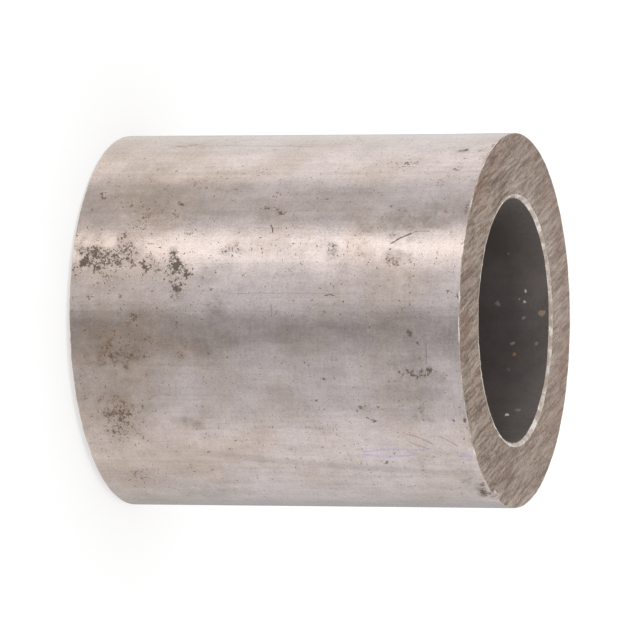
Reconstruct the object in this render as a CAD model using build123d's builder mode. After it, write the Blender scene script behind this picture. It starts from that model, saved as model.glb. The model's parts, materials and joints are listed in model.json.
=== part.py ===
from build123d import *
from math import radians, tan
import os

# A spacer sleeve: one length of thick-walled, cold-drawn steel tube, sawn off at both ends.
# Sizes are in millimetres, angles in degrees. The sleeve stands on its lower end, as it would on a
# bench, with +Z up the bore. The origin is on the bore's axis, level with the lowest point.

# Driving dimensions
outer_diameter = 28.0
bore_diameter = 18.2
length = 30.6  # along its longer side, which is the -X side

# The upper end is square. The saw wandered at the lower end, which rises a little towards +X.
lower_end_slant = 0.86

# Both mouths of the bore were deburred with a countersink, and both outer corners with a file.
bore_mouth_chamfer = 0.18
outer_edge_break = 0.10

# One knock in the upper outer corner: a dent with a flat floor and sloping sides, which is
# deepest at the sawn face and runs out on the outside of the tube.
knock_angle = -20.5  # round the sleeve from +X
knock_depth = 0.38
knock_drop = 1.30
knock_floor_width = 1.20
knock_side_slope = 50.0

outer_radius = outer_diameter / 2
bore_radius = bore_diameter / 2
stock_below = outer_edge_break + bore_mouth_chamfer  # enough tube below the cut for a whole cut

# The saw's path at the lower end turns about the line where it meets the floor, on the -X side.
lower_end = Plane(origin=(-outer_radius, 0, 0), z_dir=(0, 0, 1)).rotated((0, -lower_end_slant, 0))

# The knock's own plane lies across it where it meets the upper face, and faces down its slope.
outwards = Vector(1, 0, 0).rotate(Axis.Z, knock_angle)
along_rim = Vector(0, 1, 0).rotate(Axis.Z, knock_angle)
knock_plane = Plane(
    origin=outwards * (outer_radius - knock_depth) + Vector(0, 0, length),
    x_dir=along_rim,
    z_dir=outwards * knock_depth - Vector(0, 0, knock_drop),
)
knock_clearance_height = 3 * knock_depth
knock_mouth_width = knock_floor_width + 2 * knock_clearance_height / tan(radians(knock_side_slope))

with BuildPart() as sleeve:
    # The tube, with its lower end sawn off along the saw's path.
    with BuildSketch(Plane.XY.offset(-stock_below)):
        Circle(outer_radius)
        Circle(bore_radius, mode=Mode.SUBTRACT)
    extrude(amount=stock_below + length)
    split(bisect_by=lower_end, keep=Keep.TOP)

    # The edges at both ends of the bore, then both outer edges.
    bore_wall = sleeve.faces().filter_by(GeomType.CYLINDER).sort_by(SortBy.AREA)[0]
    chamfer(bore_wall.edges().filter_by(GeomType.LINE, reverse=True), length=bore_mouth_chamfer)
    outside = sleeve.faces().filter_by(GeomType.CYLINDER).sort_by(SortBy.AREA)[-1]
    chamfer(outside.edges().filter_by(GeomType.LINE, reverse=True), length=outer_edge_break)

    # The knock: twice its drop takes the cut clear of the outside.
    with BuildSketch(knock_plane):
        with BuildLine():
            Polyline(
                (-knock_floor_width / 2, 0),
                (knock_floor_width / 2, 0),
                (knock_mouth_width / 2, knock_clearance_height),
                (-knock_mouth_width / 2, knock_clearance_height),
                close=True,
            )
        make_face()
    extrude(amount=2 * knock_drop, mode=Mode.SUBTRACT)

sleeve.part.label = "sleeve"

os.makedirs("parts", exist_ok=True)
export_step(sleeve.part, "parts/sleeve.step")
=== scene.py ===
import json
import math

import bpy
import numpy as np
from mathutils import Matrix, Vector, noise


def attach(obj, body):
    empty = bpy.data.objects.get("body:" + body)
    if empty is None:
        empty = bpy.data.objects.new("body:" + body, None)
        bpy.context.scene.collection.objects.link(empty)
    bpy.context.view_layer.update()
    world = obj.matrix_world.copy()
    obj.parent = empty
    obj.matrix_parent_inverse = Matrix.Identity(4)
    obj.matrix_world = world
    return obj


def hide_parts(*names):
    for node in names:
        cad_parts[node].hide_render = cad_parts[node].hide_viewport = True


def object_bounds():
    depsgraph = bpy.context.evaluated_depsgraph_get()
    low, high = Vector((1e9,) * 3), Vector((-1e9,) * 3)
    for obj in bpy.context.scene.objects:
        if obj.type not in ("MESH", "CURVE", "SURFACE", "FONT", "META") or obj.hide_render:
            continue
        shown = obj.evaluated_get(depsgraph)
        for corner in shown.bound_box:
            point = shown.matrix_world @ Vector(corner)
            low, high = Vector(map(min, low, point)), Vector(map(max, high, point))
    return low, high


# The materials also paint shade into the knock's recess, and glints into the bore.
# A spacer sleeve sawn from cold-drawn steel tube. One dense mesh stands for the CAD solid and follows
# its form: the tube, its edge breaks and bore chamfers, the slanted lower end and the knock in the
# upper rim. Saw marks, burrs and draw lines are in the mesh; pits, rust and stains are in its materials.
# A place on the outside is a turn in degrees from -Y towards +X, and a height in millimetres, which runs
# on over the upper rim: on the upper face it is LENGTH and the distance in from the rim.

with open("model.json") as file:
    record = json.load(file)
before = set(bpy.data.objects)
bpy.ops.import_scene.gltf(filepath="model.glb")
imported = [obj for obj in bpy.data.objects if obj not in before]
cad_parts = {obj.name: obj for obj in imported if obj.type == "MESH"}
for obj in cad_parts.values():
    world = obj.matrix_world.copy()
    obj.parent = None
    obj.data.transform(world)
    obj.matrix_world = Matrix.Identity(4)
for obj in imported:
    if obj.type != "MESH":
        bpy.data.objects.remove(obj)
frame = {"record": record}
cad_low, cad_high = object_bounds()

MM = 0.001
OUTER_RADIUS = (cad_high[0] - cad_low[0]) / 2 / MM
LENGTH = cad_high[2] / MM
BORE_RADIUS = next(m for m in frame["record"]["mounts"] if m["name"] == "bore")["dims"]["r_mm"]

# The same sizes as the CAD part's own, in millimetres and degrees.
MOUTH_CHAMFER = 0.18
LOWER_SLANT = math.tan(math.radians(0.86))
KNOCK_TURN = 90 - 20.5
KNOCK_DEPTH = 0.38
KNOCK_DROP = 1.30
KNOCK_FLOOR = 1.20
KNOCK_SIDES = math.tan(math.radians(50.0))
KNOCK_REACH = 20.0

# What the mesh leaves free inside the CAD box, so that burrs and saw marks stay within it.
SKIN_ROOM = 0.02
FACE_ROOM = 0.07
LEAST_ROOM = 0.004
EDGE_BREAK = 0.05

# What the saw and the die left on the steel: heights, depths and widths in millimetres.
FINE_SAW_MARKS = 0.020
TORN_SAW_MARKS = 0.012
BROAD_SAW_MARKS = 0.014
SAW_FLARE = 0.05
FLARE_LENGTH = 6.0
SKIN_WAVES = 0.008
BORE_WAVES = 0.010
RIM_BURR = 0.06
MOUTH_BURR = 0.020
LIP_WIDTH = 0.14

# The mesh has this many columns round the axis, and a closed loop of rows round the wall's section:
# zone, rows in it, material.
AROUND = 560
SKIN, EDGE, FACE, BORE = range(4)
SECTION = (
    ("outside", 108, SKIN),
    ("upper_break", 4, EDGE),
    ("upper_face", 34, FACE),
    ("upper_chamfer", 6, EDGE),
    ("bore", 10, BORE),
    ("lower_chamfer", 3, EDGE),
    ("lower_face", 10, FACE),
    ("lower_break", 3, EDGE),
)

# Saw marks cross the ends this far off the Y axis.
SAW_TURN = math.radians(18)


# ---------------------------------------------------------------- marks on the outside

# Each mark is an oval: turn, height, half size round, half size along (mm), lean in degrees, strength.

# Solid dark spots of scale and dirt, and painted shade in the knock's recess.
DARK_MARKS = (
    (-37.4, 8.1, 0.26, 0.42, -15, 1.0),
    (-36.3, 14.8, 0.22, 0.50, 8, 1.0),
    (-35.4, 15.8, 0.40, 0.42, 0, 0.8),
    (-42.3, 15.3, 0.35, 0.35, 30, 0.6),
    (-43.4, 12.2, 0.26, 0.18, 0, 0.8),
    (-38.7, 11.9, 0.24, 0.22, 0, 0.8),
    (-41.3, 1.5, 0.50, 0.34, 30, 0.7),
    (-36.2, 1.0, 0.26, 0.20, 0, 0.8),
    (-25.4, 3.7, 0.22, 0.45, 0, 0.6),
    (-24.2, 6.2, 0.18, 0.30, 0, 0.6),
    (-17.4, 1.3, 0.60, 0.62, 20, 0.95),
    (-21.0, 2.6, 0.30, 0.70, 0, 0.6),
    (-20.6, 8.3, 0.45, 0.26, -10, 0.8),
    (-16.6, 8.2, 0.50, 0.45, 20, 0.95),
    (-9.7, 8.7, 0.60, 0.55, -30, 0.95),
    (-13.8, 9.3, 0.60, 0.20, -20, 0.8),
    (-16.3, 6.1, 0.20, 0.70, 5, 0.75),
    (-9.0, 11.2, 0.38, 0.26, 40, 0.85),
    (-7.4, 1.9, 0.26, 0.26, 0, 0.8),
    (-7.7, 4.2, 0.20, 0.20, 0, 0.7),
    (0.4, 8.6, 0.20, 0.26, 30, 0.9),
    (-3.6, 8.2, 0.26, 0.20, 0, 0.7),
    (-0.3, 5.3, 0.50, 0.40, -30, 0.6),
    (-6.6, 21.1, 0.14, 0.26, 0, 0.9),
    (-14.8, 18.9, 0.16, 0.14, 0, 0.9),
    (-16.4, 27.3, 0.12, 0.36, 0, 0.6),
    (-13.3, 26.8, 0.14, 0.42, 0, 0.6),
    (-7.6, 30.2, 0.45, 0.24, 0, 0.8),
    (4.1, 26.8, 0.42, 0.36, 20, 1.0),
    (6.3, 27.3, 0.28, 0.20, 0, 0.7),
    (15.9, 26.7, 0.24, 0.95, -20, 1.0),
    (15.4, 28.1, 0.20, 0.90, 52, 1.0),
    (15.6, 27.6, 0.55, 0.40, 0, 0.7),
    (15.9, 25.9, 0.26, 0.45, -20, 0.6),
    (18.2, 25.2, 0.24, 0.22, 0, 0.85),
    (18.2, 20.1, 0.22, 0.16, 20, 1.0),
    (16.4, 20.9, 0.12, 0.40, 20, 0.6),
    (12.0, 15.7, 0.16, 0.16, 0, 0.9),
    (21.9, 15.7, 0.16, 0.18, 0, 0.8),
    (25.2, 19.0, 0.20, 0.14, 30, 0.9),
    (27.2, 22.5, 0.18, 0.60, 30, 0.8),
    (27.0, 24.0, 0.18, 0.40, -20, 0.7),
    (31.5, 23.1, 0.14, 0.60, -35, 0.9),
    (32.3, 29.5, 0.22, 0.16, 0, 1.0),
    (31.9, 30.3, 0.45, 0.24, 0, 1.0),
    (36.9, 30.5, 0.50, 0.12, 0, 0.9),
    (35.7, 11.5, 0.18, 0.18, 0, 0.8),
    (48.6, 23.6, 0.14, 0.80, 0, 0.7),
    (52.9, 23.2, 0.14, 0.50, 0, 0.6),
    (60.8, 21.8, 0.14, 0.60, 0, 0.7),
    (61.3, 27.6, 0.12, 0.36, 0, 0.8),
    (70.1, 26.3, 0.18, 0.50, 0, 0.5),
    (-64.6, 28.5, 0.30, 0.75, 35, 0.85),
    (-58.5, 28.9, 0.16, 0.90, 40, 0.7),
    (-51.8, 28.5, 0.22, 0.75, -15, 0.85),
    (-47.4, 27.6, 0.40, 0.45, 20, 0.6),
    (-75.5, 22.4, 0.24, 0.40, 0, 0.6),
    (-70.4, 23.3, 0.14, 0.45, 0, 0.7),
    (-68.8, 6.2, 0.14, 1.30, 3, 0.6),
    (-66.0, 13.8, 0.16, 0.30, 0, 0.8),
    (-54.2, 16.0, 0.12, 0.30, 0, 0.8),
    (-56.2, 24.6, 0.30, 0.40, 0, 0.6),
    (-40.0, 19.3, 0.16, 0.70, 10, 0.6),
    (-37.0, 30.2, 1.10, 0.22, 0, 0.8),
    (-36.4, 24.5, 0.30, 0.14, 30, 0.7),
    (142.0, 21.0, 0.40, 0.60, 20, 0.9),
    (163.0, 8.4, 0.50, 0.40, 0, 0.9),
    (205.0, 25.3, 0.26, 0.40, 0, 0.9),
    (231.0, 12.6, 0.55, 0.35, 30, 0.9),
    (258.0, 5.2, 0.40, 0.50, 0, 0.8),
    # This mark, in the knock's recess, is painted shade.
    (66.0, 29.9, 1.30, 0.50, 0, 1.0),
    (60.5, 30.2, 0.60, 0.30, 0, 0.8),
    (-64.0, 31.1, 1.50, 0.45, 10, 0.6),
    (-52.0, 30.9, 1.10, 0.30, 0, 0.6),
)

# Where fine dark specks crowd together.
SPECK_PATCHES = (
    (-19.0, 3.2, 1.9, 3.4, 18, 0.80),
    (-20.0, 1.6, 1.6, 1.4, 0, 0.80),
    (-16.6, 6.6, 0.8, 2.4, 0, 0.70),
    (-17.0, 8.3, 1.9, 0.9, 0, 0.85),
    (-9.5, 8.7, 1.3, 0.9, 0, 0.75),
    (-13.0, 9.3, 1.3, 0.6, -20, 0.60),
    (-32.3, 7.5, 0.8, 1.0, 20, 0.70),
    (-31.0, 5.2, 1.4, 2.2, 0, 0.45),
    (-38.0, 4.2, 1.3, 3.2, 0, 0.50),
    (-42.0, 1.9, 1.1, 1.2, 0, 0.50),
    (-22.0, 12.7, 0.6, 1.3, 0, 0.55),
    (-21.0, 20.4, 0.9, 0.8, 0, 0.60),
    (-21.2, 22.8, 0.5, 1.0, 0, 0.45),
    (-19.0, 25.4, 1.0, 1.1, 0, 0.55),
    (-22.0, 17.0, 1.0, 8.0, 0, 0.30),
    (-45.8, 9.2, 0.9, 0.8, 0, 0.60),
    (-41.5, 15.6, 0.9, 1.1, 20, 0.45),
    (-56.0, 24.0, 1.1, 3.6, 0, 0.40),
    (-36.0, 25.0, 1.4, 2.6, 0, 0.35),
    (-47.4, 27.6, 0.8, 0.9, 20, 0.55),
    (10.5, 3.8, 1.2, 3.0, 0, 0.70),
    (5.0, 5.0, 1.5, 3.0, 0, 0.45),
    (9.0, 9.5, 0.9, 1.6, 0, 0.50),
    (29.0, 3.9, 1.2, 2.3, 0, 0.75),
    (34.5, 3.5, 1.9, 3.2, 10, 0.60),
    (24.0, 6.5, 0.7, 2.2, 10, 0.45),
    (57.5, 3.8, 2.0, 3.0, 0, 0.45),
    (33.5, 18.8, 0.9, 0.8, 0, 0.60),
    (27.5, 23.2, 0.7, 1.4, 20, 0.45),
    (48.0, 9.0, 3.0, 6.0, 0, 0.20),
    (16.0, 20.5, 0.8, 1.8, 0, 0.35),
    (150.0, 6.0, 2.4, 4.0, 10, 0.60),
    (196.0, 22.0, 2.0, 5.0, -20, 0.50),
    (120.0, 20.0, 1.6, 3.0, 30, 0.50),
    (235.0, 9.0, 2.2, 4.0, 0, 0.60),
    (262.0, 25.0, 1.5, 2.5, 0, 0.50),
)

# Where thin reddish-brown rust has begun.
RUST_PATCHES = (
    (10.6, 3.8, 1.3, 3.4, 0, 1.00),
    (6.0, 4.5, 2.0, 4.4, 0, 0.60),
    (9.5, 9.8, 1.0, 1.8, 0, 0.55),
    (-17.5, 3.2, 2.4, 4.4, 15, 0.60),
    (-35.5, 5.8, 1.9, 2.2, 0, 0.55),
    (28.6, 3.6, 1.7, 2.8, 0, 0.90),
    (34.0, 4.0, 2.2, 3.4, 0, 0.50),
    (58.0, 4.0, 3.0, 3.6, 0, 0.45),
    (15.0, 27.2, 0.9, 1.5, 0, 0.60),
    (-52.0, 28.4, 1.0, 1.6, 0, 0.55),
    (-19.0, 25.3, 1.2, 1.8, 0, 0.45),
    (-33.0, 29.3, 2.4, 1.3, 0, 0.50),
    (27.5, 23.2, 0.8, 1.3, 0, 0.45),
    (152.0, 7.0, 3.2, 5.0, 10, 0.70),
    (236.0, 8.0, 3.0, 5.0, 0, 0.60),
    (190.0, 27.0, 3.0, 2.5, 0, 0.50),
    (-65.0, 31.4, 2.8, 1.5, 0, 1.00),
    (-48.0, 31.5, 2.2, 1.2, 0, 0.80),
    (-20.0, 32.2, 2.0, 1.4, 0, 0.50),
    (5.0, 31.9, 2.2, 1.6, 0, 0.90),
    (24.0, 33.4, 1.4, 1.2, 0, 0.50),
    (78.0, 33.0, 2.0, 1.4, 0, 0.40),
    (168.0, 32.2, 3.2, 1.3, 0, 0.90),
    (150.0, 31.6, 2.4, 1.0, 0, 0.70),
    (-150.0, 32.6, 2.2, 1.4, 0, 0.60),
    (-125.0, 31.8, 2.0, 1.2, 0, 0.40),
    (66.0, 29.8, 1.6, 0.9, 0, 0.80),
)

# Where grey-brown grime is smeared, and painted shade in the knock's recess.
GRIME_AND_KNOCK_SHADE_PATCHES = (
    (-30.4, 26.2, 1.4, 3.6, 4, 1.00),
    (-33.5, 27.4, 1.4, 1.9, 0, 0.80),
    (-29.0, 23.2, 0.8, 1.8, 0, 0.60),
    (-3.0, 11.7, 1.0, 1.8, 0, 0.75),
    (-14.0, 11.2, 0.9, 1.4, 0, 0.55),
    (5.2, 12.4, 1.0, 1.5, 0, 0.75),
    (8.0, 10.4, 1.0, 2.2, 0, 0.65),
    (33.0, 9.1, 0.9, 1.2, 0, 0.75),
    (29.5, 27.0, 0.7, 1.6, 0, 0.70),
    (17.0, 27.0, 2.2, 2.4, 0, 0.60),
    (24.0, 27.5, 1.4, 2.4, 0, 0.40),
    (45.0, 27.2, 1.3, 2.6, 0, 0.35),
    (15.4, 26.0, 0.7, 1.2, 0, 0.60),
    (66.0, 8.6, 1.6, 3.4, 0, 0.50),
    (-64.0, 28.4, 1.0, 1.3, 35, 0.60),
    (-69.0, 6.4, 0.6, 2.4, 0, 0.60),
    (-54.0, 4.9, 1.4, 1.1, 20, 0.40),
    (-58.0, 4.0, 1.6, 1.6, 0, 0.35),
    (-12.9, 26.5, 0.4, 1.5, 0, 0.50),
    (11.5, 3.5, 3.0, 6.0, 0, 0.35),
    (18.0, 3.5, 1.0, 2.0, 0, 0.45),
    (58.0, 29.2, 1.8, 1.2, 0, 0.50),
    (182.0, 14.0, 2.0, 7.0, 15, 0.60),
    (128.0, 24.0, 1.4, 4.0, -10, 0.50),
    (16.0, 3.0, 7.0, 6.0, 0, 0.30),
    # This patch, in the knock's recess, is painted shade.
    (65.0, 29.9, 1.9, 0.8, 0, 1.00),
    (-62.0, 31.2, 2.4, 0.9, 0, 0.80),
    (34.0, 30.9, 2.4, 0.5, 0, 0.60),
    (58.0, 31.2, 2.0, 0.6, 0, 0.60),
)

# Where the sawn face is paler, rubbed smooth or burred.
PALE_PATCHES = (
    (-90.0, 34.9, 3.4, 1.1, 0, 0.90),
    (-112.0, 34.9, 3.2, 1.2, 0, 0.80),
    (-150.0, 34.2, 5.0, 1.8, 0, 0.70),
    (-172.0, 34.0, 5.0, 1.6, 0, 0.60),
    (165.0, 34.6, 4.0, 1.0, 0, 0.60),
    (41.0, 31.3, 1.6, 0.9, 0, 0.90),
    (95.0, 30.9, 5.0, 0.5, 0, 1.00),
    (76.0, 31.0, 1.6, 0.5, 0, 0.90),
    (-20.0, 34.2, 3.0, 1.0, 0, 0.35),
    (100.0, 33.6, 4.0, 1.6, 0, 0.30),
)

# Fine lines: from turn and height, to turn and height, half width and bow (mm), strength.
SCRATCHES = (
    (-23.6, 24.8, -27.3, 26.5, 0.09, 0.05, 0.75),
    (-27.4, 26.4, -27.4, 28.0, 0.05, 0.10, 0.35),
    (6.4, 27.95, 13.2, 27.90, 0.05, 0.05, 0.60),
    (-7.6, 20.1, -7.4, 21.0, 0.06, 0.02, 0.90),
    (-8.0, 12.0, -7.9, 23.0, 0.035, 0.05, 0.30),
    (-30.3, 15.3, -27.2, 15.6, 0.07, 0.12, 0.90),
    (-5.5, 16.0, -0.5, 16.1, 0.05, 0.04, 0.45),
    (-69.2, 7.5, -67.6, 17.0, 0.20, 0.10, 0.18),
    (44.0, 8.0, 54.0, 30.4, 0.55, -0.25, 0.15),
    (36.5, 25.4, 41.0, 27.6, 0.09, 0.20, 0.30),
    (39.2, 25.6, 42.4, 27.2, 0.08, -0.10, 0.30),
    (37.2, 28.0, 41.6, 29.4, 0.08, 0.10, 0.30),
    (59.0, 28.6, 55.5, 29.8, 0.08, 0.05, 0.35),
    (150.0, 12.0, 156.0, 24.0, 0.06, 0.40, 0.50),
    (214.0, 5.0, 221.0, 9.0, 0.06, 0.20, 0.50),
)

# What is left of a pen's ink: a faint bowed smudge and a dab beside the rim.
INK_STROKES = (
    (44.2, 21.6, 43.2, 26.6, 0.13, 0.24, 0.65),
    (44.6, 21.6, 44.4, 26.2, 0.13, -0.30, 0.65),
    (43.2, 26.4, 41.8, 28.2, 0.10, 0.10, 0.35),
    (44.8, 29.4, 45.6, 30.3, 0.30, 0.00, 0.55),
)

# Swarf and dust in the bore, and pale specks that are painted glints: x, y, z and radius in mm, and colour.
BORE_SPECKS_AND_GLINTS = (
    # The three palest specks are painted glints.
    (-2.2, 8.8, 28.6, 0.16, (0.75, 0.70, 0.68, 1)),
    (-1.4, 9.0, 28.45, 0.14, (0.70, 0.66, 0.64, 1)),
    (-1.6, 8.95, 28.0, 0.12, (0.40, 0.35, 0.33, 1)),
    (-0.2, 9.1, 28.3, 0.16, (0.34, 0.30, 0.30, 1)),
    (-1.3, 9.0, 26.3, 0.24, (0.30, 0.29, 0.29, 1)),
    (-0.6, 9.1, 29.8, 0.30, (0.34, 0.24, 0.16, 1)),
    (1.7, 8.9, 27.5, 0.18, (0.34, 0.31, 0.30, 1)),
    (2.5, 8.7, 27.7, 0.22, (0.42, 0.27, 0.12, 1)),
    (1.7, 8.9, 29.4, 0.20, (0.22, 0.20, 0.20, 1)),
    (3.7, 8.3, 27.4, 0.16, (0.20, 0.18, 0.18, 1)),
    (7.1, 5.7, 28.1, 0.22, (0.80, 0.77, 0.72, 1)),
    (6.7, 6.1, 28.8, 0.26, (0.28, 0.26, 0.25, 1)),
    (-5.0, 7.6, 27.6, 0.14, (0.25, 0.22, 0.20, 1)),
    (-8.6, -2.9, 22.0, 0.30, (0.30, 0.27, 0.25, 1)),
    (8.9, -2.0, 12.0, 0.30, (0.35, 0.25, 0.18, 1)),
)

# Draw lines along the outside: turn, depth in mm, half width in degrees.
DRAW_LINES = (
    (-66.0, 0.010, 0.8),
    (-50.5, 0.014, 0.7),
    (-39.0, 0.004, 0.5),
    (2.5, 0.004, 0.8),
    (22.0, 0.004, 0.6),
    (36.5, 0.008, 0.5),
    (63.0, 0.006, 0.7),
    (118.0, 0.010, 0.9),
    (165.0, 0.008, 0.7),
    (214.0, 0.012, 0.8),
    (252.0, 0.006, 0.6),
)


# ---------------------------------------------------------------- numbers

def waves(x, y, z, size, octaves=3, seed=0.0):
    """Smooth noise from about -1 to 1 at these points, whose features measure about size."""
    points = np.stack(np.broadcast_arrays(x, y, z), -1).reshape(-1, 3) / size + seed * 17.31
    values = [noise.fractal(p, 1.0, 2.0, octaves) for p in points.tolist()]
    return np.array(values).reshape(np.broadcast(x, y, z).shape)


def smooth_step(low, high, value):
    share = np.clip((value - low) / (high - low), 0, 1)
    return share * share * (3 - 2 * share)


def turn_between(turn, other):
    """The angle in degrees from other to turn, the shorter way round."""
    return (turn - other + 180) % 360 - 180


def painted(ovals, turn, height, raggedness):
    """How strongly the ovals cover each place: fully at their middles, and not past their ragged edges."""
    x, y = OUTER_RADIUS * np.sin(np.radians(turn)), -OUTER_RADIUS * np.cos(np.radians(turn))
    ragged_round = raggedness * waves(x, y, height, 1.1, 3, 31)
    ragged_along = raggedness * waves(x, y, height, 1.1, 3, 32)
    cover = np.zeros(turn.shape)
    for oval_turn, oval_height, half_round, half_along, lean, strength in ovals:
        around = np.radians(turn_between(turn, oval_turn)) * OUTER_RADIUS + ragged_round
        along = height - oval_height + ragged_along
        cos, sin = math.cos(math.radians(lean)), math.sin(math.radians(lean))
        a = (around * cos + along * sin) / half_round
        b = (along * cos - around * sin) / half_along
        cover = np.maximum(cover, strength * (1 - np.clip(a * a + b * b, 0, 1)))
    return cover


def knock_limit(turn, drop):
    """How far out from the axis the knock lets the metal reach, at a turn and a drop below the face."""
    away = np.radians(turn_between(turn, KNOCK_TURN))
    near = np.abs(away) < math.radians(KNOCK_REACH)
    away = np.where(near, away, 0)
    cos, sin = np.cos(away), np.abs(np.sin(away))
    floor = OUTER_RADIUS - KNOCK_DEPTH * (1 - drop / KNOCK_DROP)
    side = (floor - KNOCK_SIDES * KNOCK_FLOOR / 2) / (cos - KNOCK_SIDES * sin)
    return np.where(near, np.maximum(floor / cos, side), 2 * OUTER_RADIUS)


# ---------------------------------------------------------------- the sleeve's form

def saw_marks(x, y, seed):
    """Height of a sawn end, in millimetres: long shallow ridges, rougher on the -Y side."""
    along = y * math.cos(SAW_TURN) - x * math.sin(SAW_TURN)
    across = x * math.cos(SAW_TURN) + y * math.sin(SAW_TURN)
    rough = 0.45 + 0.55 * smooth_step(4, -8, y)
    fine = waves(across / 0.36, along / 4.0, 0.0, 1.0, 3, seed)
    torn = waves(across / 0.5, along / 0.9, 9.0, 1.0, 2, seed + 2)
    broad = waves(across / 1.6, along / 9.0, 5.0, 1.0, 2, seed + 1)
    return rough * (FINE_SAW_MARKS * fine + TORN_SAW_MARKS * torn) + BROAD_SAW_MARKS * broad


def outside_radius(turn, height):
    """The drawn skin: nearly true, flared a little at the top of the -X side, with shallow draw lines."""
    x, y = OUTER_RADIUS * np.sin(np.radians(turn)), -OUTER_RADIUS * np.cos(np.radians(turn))
    towards_left = 0.5 - 0.5 * x / OUTER_RADIUS
    narrower = SAW_FLARE * towards_left**2 * smooth_step(LENGTH, LENGTH - FLARE_LENGTH, height)
    wavy = SKIN_WAVES * waves(x, y, height * 0.12, 5.0, 2, 3)
    radius = OUTER_RADIUS - SKIN_ROOM - narrower + wavy
    for line_turn, depth, width in DRAW_LINES:
        wander = 0.5 * waves(0.0, line_turn, height, 9.0, 1, 4)
        depth = depth * (0.6 + 0.4 * waves(1.0, line_turn, height, 4.0, 2, 5))
        radius = radius - depth * np.exp(-(((turn_between(turn, line_turn) - wander) / width) ** 2))
    return np.minimum(radius, knock_limit(turn, LENGTH - height) - SKIN_ROOM / 2)


def rim_burr(x, y, seed):
    """How far the saw's burr stands out along a rim: broken into short stretches, heaviest towards -Y."""
    broken = smooth_step(-0.25, 0.55, waves(x, y, 0.0, 1.0, 3, seed))
    return broken * (0.5 + 0.5 * waves(x, y, 3.0, 4.0, 2, seed)) * (0.6 - 0.4 * y / OUTER_RADIUS)


def sleeve_rows():
    """The mesh's rows, each a radius and a height at every column, and the material of each row."""
    turn = np.arange(AROUND) * 360 / AROUND - 180
    out_x, out_y = np.sin(np.radians(turn)), -np.cos(np.radians(turn))
    outer_x, outer_y = OUTER_RADIUS * out_x, OUTER_RADIUS * out_y
    bore_x, bore_y = BORE_RADIUS * out_x, BORE_RADIUS * out_y

    def lower_plane(radius):
        return LOWER_SLANT * (OUTER_RADIUS + radius * out_x)

    def upper_height(radius):
        return LENGTH - FACE_ROOM + saw_marks(radius * out_x, radius * out_y, 11)

    def lower_height(radius):
        return lower_plane(radius) + FACE_ROOM + saw_marks(radius * out_x, radius * out_y, 23)

    edge_break = EDGE_BREAK * (0.9 + 0.6 * waves(outer_x, outer_y, 0.0, 2.0, 2, 6))
    burr = RIM_BURR * rim_burr(outer_x, outer_y, 8)
    bore = BORE_RADIUS + BORE_WAVES * waves(bore_x, bore_y, 0.0, 4.0, 2, 10)
    chamfer = MOUTH_CHAMFER * (1.05 + 0.25 * waves(bore_x, bore_y, 0.0, 3.0, 2, 7))
    mouth_burr = MOUTH_BURR * (0.6 + 0.4 * waves(bore_x, bore_y, 2.0, 2.0, 2, 9))
    mouth = bore + chamfer
    lip = mouth + LIP_WIDTH + 0.05 * waves(bore_x, bore_y, 4.0, 0.8, 2, 12)

    rim = outside_radius(turn, np.full(AROUND, LENGTH))
    foot = outside_radius(turn, np.zeros(AROUND))
    skin_top = upper_height(rim - edge_break) - edge_break
    skin_foot = lower_height(foot - edge_break) + edge_break
    bore_top = upper_height(lip) - chamfer
    bore_foot = lower_plane(bore) + chamfer

    rows = []
    for zone, count, material in SECTION:
        for k in range(count):
            share = k / count
            swing = share * math.pi / 2
            if zone == "outside":
                # The rows lie closer together towards both ends.
                share = share - 0.5 * math.sin(2 * math.pi * share) / (2 * math.pi)
                height = skin_foot + share * (skin_top - skin_foot)
                radius = outside_radius(turn, height)
            elif zone == "upper_break":
                radius = rim - edge_break * (1 - math.cos(swing)) + burr * math.sin(2 * swing) * 0.5
                height = skin_top + edge_break * math.sin(swing) + burr * math.sin(swing)
            elif zone == "upper_face":
                radius = rim - edge_break + share * (lip - rim + edge_break)
                height = upper_height(radius) + burr * (1 - share) ** 40
            elif zone == "upper_chamfer":
                radius = lip + share * (bore - lip)
                height = upper_height(lip) - np.maximum(0, mouth - radius)
                height = height + mouth_burr * math.sin(math.pi * min(1, 1.6 * share))
            elif zone == "bore":
                radius = bore
                height = bore_top + share * (bore_foot - bore_top)
            elif zone == "lower_chamfer":
                radius = bore + share * chamfer
                height = bore_foot + share * (lower_height(mouth) - bore_foot)
            elif zone == "lower_face":
                radius = mouth + share * (foot - edge_break - mouth)
                height = lower_height(radius)
            else:
                radius = foot - edge_break * (1 - math.sin(swing))
                height = skin_foot - edge_break * math.cos(swing)
            rows.append((radius, height, material))
    radius = np.minimum([row[0] for row in rows], OUTER_RADIUS - LEAST_ROOM)
    height = np.clip([row[1] for row in rows], LEAST_ROOM, LENGTH - LEAST_ROOM)
    return turn, radius, height, [row[2] for row in rows]


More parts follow.
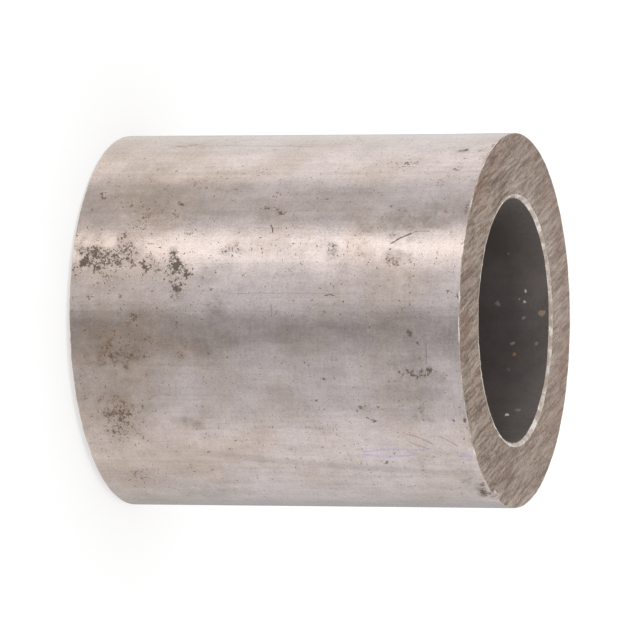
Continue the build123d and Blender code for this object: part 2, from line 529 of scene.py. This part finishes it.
def make_sleeve(materials):
    """One closed mesh, joined round the section and round the axis, with its painted layers."""
    turn, radius, height, row_material = sleeve_rows()
    turn = np.broadcast_to(turn, radius.shape)
    x, y = radius * np.sin(np.radians(turn)), -radius * np.cos(np.radians(turn))
    points = np.stack([x, y, height], -1).reshape(-1, 3) * MM
    number = np.arange(radius.size).reshape(radius.shape)
    after, beside = np.roll(number, -1, 0), np.roll(number, -1, 1)
    quads = np.stack([number, beside, np.roll(after, -1, 1), after], -1).reshape(-1, 4)
    mesh = bpy.data.meshes.new("sleeve")
    mesh.from_pydata(points.tolist(), [], quads.tolist())
    for material in materials:
        mesh.materials.append(material)
    mesh.polygons.foreach_set("material_index", np.repeat(row_material, AROUND).astype(np.int32))
    mesh.polygons.foreach_set("use_smooth", np.ones(len(quads), bool))

    # The painted layers cover the outside, the upper rim and the upper face.
    skin_rows, rim_rows, face_rows = (rows for _, rows, _ in SECTION[:3])
    top = skin_rows + rim_rows + face_rows
    unrolled = height[:top].copy()
    unrolled[skin_rows:] = LENGTH + OUTER_RADIUS - radius[skin_rows:top]
    for name, (ovals, raggedness) in LAYERS.items():
        values = np.zeros(radius.shape, np.float32)
        values[:top] = painted(ovals, turn[:top], unrolled, raggedness)
        mesh.attributes.new(name, "FLOAT", "POINT").data.foreach_set("value", values.ravel())
    mesh.update()
    piece = bpy.data.objects.new("drawn_sleeve", mesh)
    bpy.context.scene.collection.objects.link(piece)
    return piece


# The mesh's painted layers: ovals, and how ragged their edges are in millimetres.
LAYERS = {
    "dark": (DARK_MARKS, 0.28),
    "specks": (SPECK_PATCHES, 0.8),
    "rust": (RUST_PATCHES, 1.0),
    "grime_and_shade": (GRIME_AND_KNOCK_SHADE_PATCHES, 0.9),
    "pale": (PALE_PATCHES, 0.5),
}


# ---------------------------------------------------------------- material helpers

class Shader:
    """A material's nodes, one a call. A value is a number, a tuple or another node's output."""

    def __init__(self, name):
        self.material = bpy.data.materials.new(name)
        self.material.use_nodes = True
        self.tree = self.material.node_tree
        self.tree.nodes.clear()

    def node(self, kind, values=None, **settings):
        made = self.tree.nodes.new("ShaderNode" + kind)
        for name, value in settings.items():
            setattr(made, name, value)
        for key, value in (values or {}).items():
            if isinstance(value, bpy.types.NodeSocket):
                self.tree.links.new(value, made.inputs[key])
            else:
                made.inputs[key].default_value = value
        return made

    def math(self, operation, *values, clamp=False):
        return self.node("Math", dict(enumerate(values)), operation=operation, use_clamp=clamp).outputs[0]

    def sum(self, *values, clamp=False):
        total = values[0]
        for value in values[1:]:
            total = self.math("ADD", total, value)
        return self.math("ADD", total, 0.0, clamp=True) if clamp else total

    def times(self, *values):
        product = values[0]
        for value in values[1:]:
            product = self.math("MULTIPLY", product, value)
        return product

    def scaled(self, vector, factor):
        return self.node("VectorMath", {0: vector, "Scale": factor}, operation="SCALE").outputs[0]

    def fit(self, value, low, high, to_low=0.0, to_high=1.0):
        """Maps value from low..high to the other range, smoothly and clamped."""
        names = {"Value": value, "From Min": low, "From Max": high, "To Min": to_low, "To Max": to_high}
        return self.node("MapRange", names, interpolation_type="SMOOTHSTEP").outputs[0]

    def mix(self, share, first, second):
        return self.node("Mix", {0: share, 6: first, 7: second}, data_type="RGBA").outputs[2]

    def noise(self, place, size, detail=3.0, rough=0.5, distort=0.0):
        values = {"Vector": place, "Scale": 1 / size, "Detail": detail}
        values.update({"Roughness": rough, "Distortion": distort})
        return self.node("TexNoise", values).outputs[0]

    def stretched(self, place, x, y, z):
        """The place scaled so that a noise of size 1 has features of x by y by z millimetres."""
        values = {0: place, 1: (1 / x, 1 / y, 1 / z)}
        return self.node("VectorMath", values, operation="MULTIPLY").outputs[0]

    def layer(self, name):
        return self.node("Attribute", attribute_name=name).outputs["Fac"]

    def crowded(self, pattern, density, sparse, dense, softness):
        """Spots where pattern is over a threshold, which falls from sparse to dense as density rises."""
        threshold = self.sum(sparse, self.times(density, dense - sparse))
        return self.fit(pattern, threshold, self.sum(threshold, softness))

    def bump(self, height, depth, normal=None):
        """Depth in millimetres, a number or an output."""
        distance = self.times(depth, MM) if isinstance(depth, bpy.types.NodeSocket) else depth * MM
        values = {"Height": height, "Distance": distance, "Strength": 1.0}
        if normal is not None:
            values["Normal"] = normal
        return self.node("Bump", values).outputs[0]

    def finish(self, **values):
        names = {key.replace("_", " "): value for key, value in values.items()}
        shader = self.node("BsdfPrincipled", names)
        self.tree.links.new(shader.outputs[0], self.node("OutputMaterial").inputs[0])
        return self.material


def places(shader):
    """The place in millimetres, how far round the outside it is from -Y towards +X, and its height."""
    place = shader.scaled(shader.node("TexCoord").outputs["Object"], 1 / MM)
    split = shader.node("SeparateXYZ", {0: place})
    turn = shader.math("ARCTAN2", split.outputs[0], shader.times(split.outputs[1], -1.0))
    return place, shader.times(turn, OUTER_RADIUS), split.outputs[2]


def line_on(shader, around, height, line):
    """A fine bowed line on the outside, with soft ends."""
    turn_a, height_a, turn_b, height_b, half_width, bow, strength = line
    if turn_a > 180:
        turn_a, turn_b = turn_a - 360, turn_b - 360
    start = Vector((math.radians(turn_a) * OUTER_RADIUS, height_a))
    reach = Vector((math.radians(turn_b) * OUTER_RADIUS, height_b)) - start
    way = reach.normalized()
    from_a = shader.math("SUBTRACT", around, start.x)
    from_b = shader.math("SUBTRACT", height, start.y)
    step = way / reach.length
    share = shader.sum(shader.times(from_a, step.x), shader.times(from_b, step.y))
    off = shader.sum(shader.times(from_a, -way.y), shader.times(from_b, way.x))
    bowed = shader.times(4 * bow, share, shader.math("SUBTRACT", 1.0, share))
    off = shader.math("ABSOLUTE", shader.math("SUBTRACT", off, bowed))
    ends = shader.fit(shader.math("ABSOLUTE", shader.math("SUBTRACT", share, 0.5)), 0.5, 0.38)
    return shader.times(shader.fit(off, half_width, 0.25 * half_width), ends, strength)


def lines_on(shader, around, height, lines):
    total = 0.0
    for line in lines:
        total = shader.math("MAXIMUM", line_on(shader, around, height, line), total)
    return total


# ---------------------------------------------------------------- materials

# Linear colours of the outside, the sawn ends, the edges, the bore and the floor.
BARE_STEEL = (0.505, 0.446, 0.442, 1)
TAN_STEEL = (0.430, 0.355, 0.310, 1)
GRIME_AND_SHADE = (0.215, 0.180, 0.150, 1)
RUST = (0.250, 0.148, 0.095, 1)
SCALE_HAZE = (0.260, 0.195, 0.145, 1)
BLACK_SCALE_AND_SHADE = (0.038, 0.027, 0.019, 1)
BROWN_SCALE_AND_SHADE = (0.125, 0.084, 0.052, 1)
SCRATCH_BROWN = (0.110, 0.090, 0.075, 1)
INK = (0.300, 0.255, 0.560, 1)
SAWN_HOLLOW = (0.085, 0.052, 0.034, 1)
SAWN_RIDGE = (0.450, 0.340, 0.265, 1)
SAWN_RUST = (0.240, 0.115, 0.072, 1)
SAWN_PALE = (0.560, 0.500, 0.440, 1)
SAWN_SMOOTH = (0.350, 0.255, 0.205, 1)
SAWN_DIRT = (0.080, 0.045, 0.030, 1)
EDGE_BROWN = (0.40, 0.325, 0.265, 1)
EDGE_BRIGHT = (0.78, 0.73, 0.68, 1)
EDGE_GRAIN = (0.45, 0.39, 0.34, 1)
BORE_DARK = (0.108, 0.088, 0.080, 1)
BORE_BROWN = (0.150, 0.124, 0.116, 1)
BORE_DRAWN = (0.100, 0.098, 0.100, 1)
FLOOR_GREY = (0.45, 0.45, 0.45, 1)
WHITE = (1, 1, 1, 1)

# How far in mm the noise pushes the outlines of the specks in the bore.
SPECK_WARP = 0.5


def skin_patterns(shader, place):
    """The noises that the outside is made of, by name."""
    return {
        "broad": shader.noise(place, 6.0, 3.0, 0.55),
        "cloud": shader.noise(shader.stretched(place, 1.4, 1.4, 2.2), 1.0, 4.0, 0.6),
        "coarse": shader.noise(place, 0.6, 5.0, 0.80),
        "grain": shader.noise(place, 0.22, 4.0, 0.75),
        "drawn": shader.noise(shader.stretched(place, 0.35, 0.35, 9.0), 1.0, 4.0, 0.6),
        "chatter": shader.noise(shader.stretched(place, 2.4, 2.4, 0.22), 1.0, 3.0, 0.6),
    }


def skin_steel(shader, pattern, height):
    """Bare metal: lilac grey where it is cleanest, and tan towards the lower end."""
    aged = shader.fit(height, 13.0, 3.0, 0.0, 0.50)
    tan = shader.sum(aged, shader.fit(pattern["broad"], 0.42, 0.68, 0.0, 0.6), clamp=True)
    shade = shader.sum(
        1.0,
        shader.fit(pattern["drawn"], 0.3, 0.7, -0.045, 0.045),
        shader.fit(pattern["cloud"], 0.3, 0.7, -0.09, 0.07),
        shader.fit(pattern["grain"], 0.3, 0.7, -0.12, 0.10),
        shader.fit(pattern["chatter"], 0.3, 0.7, -0.030, 0.025),
    )
    return shader.scaled(shader.mix(tan, BARE_STEEL, TAN_STEEL), shade)


def skin_stains(shader, pattern, mottle, colour):
    """Smeared grime with painted shade in the knock's recess, and rust: many small reddish spots over a
    faint tint.
    """
    grime_and_shade = shader.times(shader.layer("grime_and_shade"), shader.fit(pattern["coarse"], 0.36, 0.60, 0.35, 1.0))
    # The grime layer also paints shade into the knock's recess.
    colour = shader.mix(shader.times(grime_and_shade, 0.75), colour, GRIME_AND_SHADE)
    layer = shader.layer("rust")
    spots = shader.crowded(mottle, layer, 0.62, 0.40, 0.08)
    spots = shader.times(spots, shader.fit(layer, 0.0, 0.30))
    rust = shader.math("MAXIMUM", spots, shader.times(layer, 0.35))
    return shader.mix(shader.times(rust, 0.68), colour, RUST), grime_and_shade, rust


def skin_scale_and_shade(shader, pattern, mottle, colour):
    """Scale: a brown haze, small ragged specks, some larger ones, and the solid dark marks, with painted
    shade in the knock's recess.
    """
    specks = shader.layer("specks")
    crowd = shader.sum(specks, shader.fit(pattern["cloud"], 0.52, 0.75, 0.0, 0.22))
    haze = shader.times(specks, shader.fit(mottle, 0.42, 0.56))
    colour = shader.mix(shader.times(haze, 0.55), colour, SCALE_HAZE)
    small = shader.crowded(pattern["grain"], crowd, 0.67, 0.42, 0.09)
    large = shader.crowded(pattern["coarse"], crowd, 0.71, 0.46, 0.08)
    fine = shader.times(pattern["grain"], 4.0)
    torn = shader.times(pattern["coarse"], 2.0)
    # The solid marks include painted shade in the knock's recess, coloured like scale.
    solid = shader.fit(shader.sum(shader.layer("dark"), fine, torn), 3.40, 3.80)
    dark = shader.math("MAXIMUM", solid, shader.math("MAXIMUM", small, large))
    scale = shader.mix(shader.fit(mottle, 0.38, 0.60), BLACK_SCALE_AND_SHADE, BROWN_SCALE_AND_SHADE)
    return shader.mix(shader.times(dark, 0.88), colour, scale), dark, crowd


def drawn_skin():
    """The outside: satin drawn steel with pits, scale specks, thin rust, grime and a trace of ink, and
    painted shade in the knock's recess.
    """
    shader = Shader("drawn_skin")
    place, around, height = places(shader)
    pattern = skin_patterns(shader, place)
    mottle = shader.sum(shader.times(pattern["grain"], 0.65), shader.times(pattern["coarse"], 0.35))
    colour = skin_steel(shader, pattern, height)
    colour, grime_and_shade, rust = skin_stains(shader, pattern, mottle, colour)
    colour, dark, crowd = skin_scale_and_shade(shader, pattern, mottle, colour)

    wander = shader.sum(around, shader.times(shader.math("SUBTRACT", pattern["coarse"], 0.5), 0.35))
    scratch = lines_on(shader, wander, height, SCRATCHES)
    colour = shader.mix(scratch, colour, SCRATCH_BROWN)
    patchy = shader.fit(pattern["coarse"], 0.3, 0.6, 0.35, 1.0)
    ink = shader.times(lines_on(shader, wander, height, INK_STROKES), patchy)
    colour = shader.mix(shader.times(ink, 0.75), colour, INK)

    # These dark marks include painted shade in the knock's recess.
    dirt = shader.math("MAXIMUM", dark, shader.math("MAXIMUM", scratch, shader.times(rust, 0.5)))
    metal = shader.math("SUBTRACT", 1.0, shader.times(dirt, 0.90), clamp=True)
    satin = shader.fit(pattern["cloud"], 0.3, 0.7, 0.17, 0.24)
    rough = shader.sum(satin, shader.times(dirt, 0.3), shader.times(grime_and_shade, 0.15))
    normal = shader.bump(pattern["drawn"], 0.004)
    normal = shader.bump(pattern["chatter"], 0.002, normal)
    pits = shader.math("SUBTRACT", pattern["grain"], shader.times(dark, 0.3))
    normal = shader.bump(pits, shader.fit(crowd, 0.05, 0.50, 0.009, 0.034), normal)
    return shader.finish(Base_Color=colour, Metallic=metal, Roughness=rough, Normal=normal)


def sawn_face():
    """The ends: sawn steel gone tan, with torn ridges across it and redder patches."""
    shader = Shader("sawn_face")
    place, _, _ = places(shader)
    values = {"Vector": place, "Angle": -SAW_TURN}
    turned = shader.node("VectorRotate", values, rotation_type="Z_AXIS").outputs[0]
    depth = shader.node("SeparateXYZ", {0: place}).outputs[1]
    smooth_side = shader.math("SUBTRACT", 1.0, shader.fit(depth, 4.0, -8.0))

    scratch = shader.noise(shader.stretched(turned, 0.22, 2.2, 1.0), 1.0, 5.0, 0.75, 0.3)
    ridge = shader.noise(shader.stretched(turned, 0.50, 4.5, 1.0), 1.0, 3.0, 0.6, 0.2)
    grain = shader.noise(place, 0.20, 3.0, 0.7)
    broad = shader.noise(place, 2.6, 3.0, 0.6)

    tone = shader.sum(
        shader.fit(scratch, 0.38, 0.66, 0.0, 0.45),
        shader.fit(ridge, 0.40, 0.64, 0.0, 0.25),
        shader.fit(grain, 0.3, 0.7, 0.0, 0.35),
    )
    colour = shader.mix(tone, SAWN_HOLLOW, SAWN_RIDGE)
    mottle = shader.fit(broad, 0.40, 0.62, 0.5, 1.0)
    rust = shader.times(shader.layer("rust"), mottle)
    colour = shader.mix(shader.times(rust, 0.75), colour, SAWN_RUST)
    pale = shader.times(shader.layer("pale"), mottle, shader.fit(tone, 0.2, 0.6, 0.4, 1.0))
    colour = shader.mix(shader.times(pale, 0.70), colour, SAWN_PALE)
    colour = shader.mix(shader.times(smooth_side, 0.30), colour, SAWN_SMOOTH)
    ragged = shader.sum(shader.layer("dark"), shader.times(grain, 2.2), shader.times(ridge, 2.0))
    colour = shader.mix(shader.fit(ragged, 2.5, 2.8, 0.0, 0.8), colour, SAWN_DIRT)

    rough = shader.fit(tone, 0.2, 0.8, 0.60, 0.38)
    normal = shader.bump(scratch, 0.040)
    normal = shader.bump(grain, 0.020, normal)
    return shader.finish(Base_Color=colour, Metallic=0.8, Roughness=rough, Normal=normal)


def bright_edge():
    """Chamfers, broken edges and burrs: freshly cut steel, with brown dirt between the bright stretches."""
    shader = Shader("bright_edge")
    place, _, _ = places(shader)
    grain = shader.noise(place, 0.25, 3.0, 0.6)
    broken = shader.noise(place, 1.1, 4.0, 0.65)
    colour = shader.mix(shader.fit(broken, 0.42, 0.66), EDGE_BROWN, EDGE_BRIGHT)
    colour = shader.mix(shader.fit(grain, 0.55, 0.75), colour, EDGE_GRAIN)
    rough = shader.fit(grain, 0.3, 0.7, 0.40, 0.22)
    return shader.finish(Base_Color=colour, Metallic=1.0, Roughness=rough, Normal=shader.bump(grain, 0.012))


def bore_scale():
    """The bore: dark drawing scale with specks of swarf and dust, and pale specks that are painted glints.
    """
    shader = Shader("bore_scale")
    place, _, _ = places(shader)
    broad = shader.noise(place, 4.0, 3.0, 0.6)
    grain = shader.noise(place, 0.3, 3.0, 0.6)
    drawn = shader.noise(shader.stretched(place, 0.5, 0.5, 8.0), 1.0, 3.0, 0.6)
    push = shader.node("TexNoise", {"Vector": place, "Scale": 3.0}).outputs["Color"]
    values = {0: place, 1: shader.scaled(push, SPECK_WARP)}
    ragged = shader.node("VectorMath", values, operation="ADD").outputs[0]
    colour = shader.mix(shader.fit(broad, 0.35, 0.65), BORE_DARK, BORE_BROWN)
    colour = shader.mix(shader.fit(drawn, 0.4, 0.7, 0.0, 0.3), colour, BORE_DRAWN)
    # The pale specks mixed in here are painted glints.
    for x, y, z, radius, speck_colour in BORE_SPECKS_AND_GLINTS:
        middle = (x + SPECK_WARP / 2, y + SPECK_WARP / 2, z + SPECK_WARP / 2)
        off = shader.node("VectorMath", {0: ragged, 1: middle}, operation="DISTANCE").outputs["Value"]
        colour = shader.mix(shader.fit(off, radius, 0.6 * radius), colour, speck_colour)
    rough = shader.fit(grain, 0.3, 0.7, 0.55, 0.75)
    return shader.finish(Base_Color=colour, Metallic=0.2, Roughness=rough, Normal=shader.bump(grain, 0.012))


# ---------------------------------------------------------------- the studio

# The light tent's lower wall, which the outside mirrors: turn from -Y towards +X, brightness, warmth.
TENT_LEVELS = (
    (-180, 0.55, 0.2),
    (-160, 1.05, 0.4),
    (-136, 1.20, 0.5),
    (-116, 1.48, 0.7),
    (-100, 1.42, 0.7),
    (-93, 0.96, 0.1),
    (-66, 0.88, 0.0),
    (-57, 0.96, 0.1),
    (-52, 1.95, 0.9),
    (-44, 2.50, 1.0),
    (-37, 1.45, 0.6),
    (-28, 1.02, 0.2),
    (-16, 1.14, 0.0),
    (-9, 1.02, 0.0),
    (-3, 0.56, 0.1),
    (8, 0.50, 0.2),
    (17, 0.72, 0.1),
    (30, 0.94, 0.0),
    (54, 0.88, 0.0),
    (70, 1.20, 0.3),
    (96, 1.25, 0.3),
    (106, 1.08, 0.2),
    (132, 0.98, 0.2),
    (150, 0.66, 0.1),
    (168, 0.50, 0.1),
)
WARM_LESS_GREEN = 0.035
WARM_LESS_BLUE = 0.09

# The wall above is even. The two meet between these heights; sizes in metres.
UPPER_TENT_LEVEL = 1.0
TENT_MEETING = (-0.02, 0.12)
TENT_RADIUS = 0.9
TENT_HEIGHT = 1.6
FLOOR_SIZE = 6.0
FLOOR_GLOW = 0.62


def add_tent():
    """A round tent of white cloth, lit unevenly: it gives the steel its long soft bands, out of view."""
    bpy.ops.mesh.primitive_cylinder_add(
        vertices=96, radius=TENT_RADIUS, depth=TENT_HEIGHT, end_fill_type="NOTHING"
    )
    tent = bpy.context.object
    tent.name = "light_tent"
    shader = Shader("tent_light")
    split = shader.node("SeparateXYZ", {0: shader.node("TexCoord").outputs["Object"]})
    turn = shader.math("ARCTAN2", split.outputs[0], shader.times(split.outputs[1], -1.0))
    ramp = shader.node("ValToRGB", {0: shader.sum(shader.times(turn, 0.5 / math.pi), 0.5)})
    stops = ramp.color_ramp.elements
    brightest = max(level for _, level, _ in TENT_LEVELS)
    while len(stops) < len(TENT_LEVELS):
        stops.new(0.5)
    for stop, (tent_turn, level, warmth) in zip(stops, TENT_LEVELS):
        stop.position = tent_turn / 360 + 0.5
        share = level / brightest
        green = share * (1 - WARM_LESS_GREEN * warmth)
        blue = share * (1 - WARM_LESS_BLUE * warmth)
        stop.color = (share, green, blue, 1)
    upper = (UPPER_TENT_LEVEL / brightest,) * 3 + (1,)
    colour = shader.mix(shader.fit(split.outputs[2], *TENT_MEETING), ramp.outputs[0], upper)
    light = shader.node("Emission", {"Color": colour, "Strength": brightest})
    shader.tree.links.new(light.outputs[0], shader.node("OutputMaterial").inputs[0])
    tent.data.materials.append(shader.material)
    tent.visible_camera = False
    tent.visible_shadow = False


def add_floor():
    """A plain white floor with the sleeve's soft shadow. The steel mirrors the tent instead."""
    bpy.ops.mesh.primitive_plane_add(size=FLOOR_SIZE)
    floor = bpy.context.object
    floor.name = "floor"
    shader = Shader("white_floor")
    ray = shader.node("LightPath")
    seen = shader.math("MAXIMUM", ray.outputs["Is Camera Ray"], ray.outputs["Is Glossy Ray"])
    seen = shader.math("MAXIMUM", seen, ray.outputs["Is Transmission Ray"])
    glow = shader.node("Emission", {"Color": WHITE, "Strength": shader.times(seen, FLOOR_GLOW)})
    matt = shader.node("BsdfDiffuse", {"Color": FLOOR_GREY})
    both = shader.node("AddShader", {0: glow.outputs[0], 1: matt.outputs[0]})
    shader.tree.links.new(both.outputs[0], shader.node("OutputMaterial").inputs[0])
    floor.data.materials.append(shader.material)
    floor.visible_glossy = False
    floor.visible_shadow = False


def add_world():
    world = bpy.data.worlds.new("white_room")
    bpy.context.scene.world = world
    world.use_nodes = True
    background = world.node_tree.nodes["Background"]
    background.inputs["Color"].default_value = WHITE
    background.inputs["Strength"].default_value = 1.0


# The camera's place, in outer radii from the middle of the upper face, and its aim.
VIEW_ELEVATION = math.radians(18.69)
VIEW_ROLL = math.radians(0.1)
ASIDE, BELOW, AWAY = 1.0465, 0.0010, 40.0
LENS_MM = 423.0
SENSOR_MM = 36.0


def add_camera():
    """Looks at the sleeve from its -Y side and a little above, rolled so that +Z points to the right."""
    right = Vector((0, math.sin(VIEW_ELEVATION), math.cos(VIEW_ELEVATION)))
    down = Vector((1, 0, 0))
    forward = Vector((0, math.cos(VIEW_ELEVATION), -math.sin(VIEW_ELEVATION)))
    place = Vector((0, 0, LENGTH)) - OUTER_RADIUS * (ASIDE * right + BELOW * down + AWAY * forward)
    data = bpy.data.cameras.new("camera")
    data.lens = LENS_MM
    data.sensor_width = SENSOR_MM
    data.clip_start = 0.05
    data.clip_end = 20.0
    camera = bpy.data.objects.new("camera", data)
    turned = Matrix((right, -down, -forward)).transposed() @ Matrix.Rotation(VIEW_ROLL, 3, "Z")
    camera.matrix_world = Matrix.Translation(place * MM) @ turned.to_4x4()
    bpy.context.scene.collection.objects.link(camera)
    bpy.context.scene.camera = camera


# ---------------------------------------------------------------- the scene

sleeve = make_sleeve([drawn_skin(), bright_edge(), sawn_face(), bore_scale()])
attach(sleeve, "root")
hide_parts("sleeve")

add_tent()
add_floor()
add_world()
add_camera()
bpy.context.scene.view_settings.view_transform = "Standard"
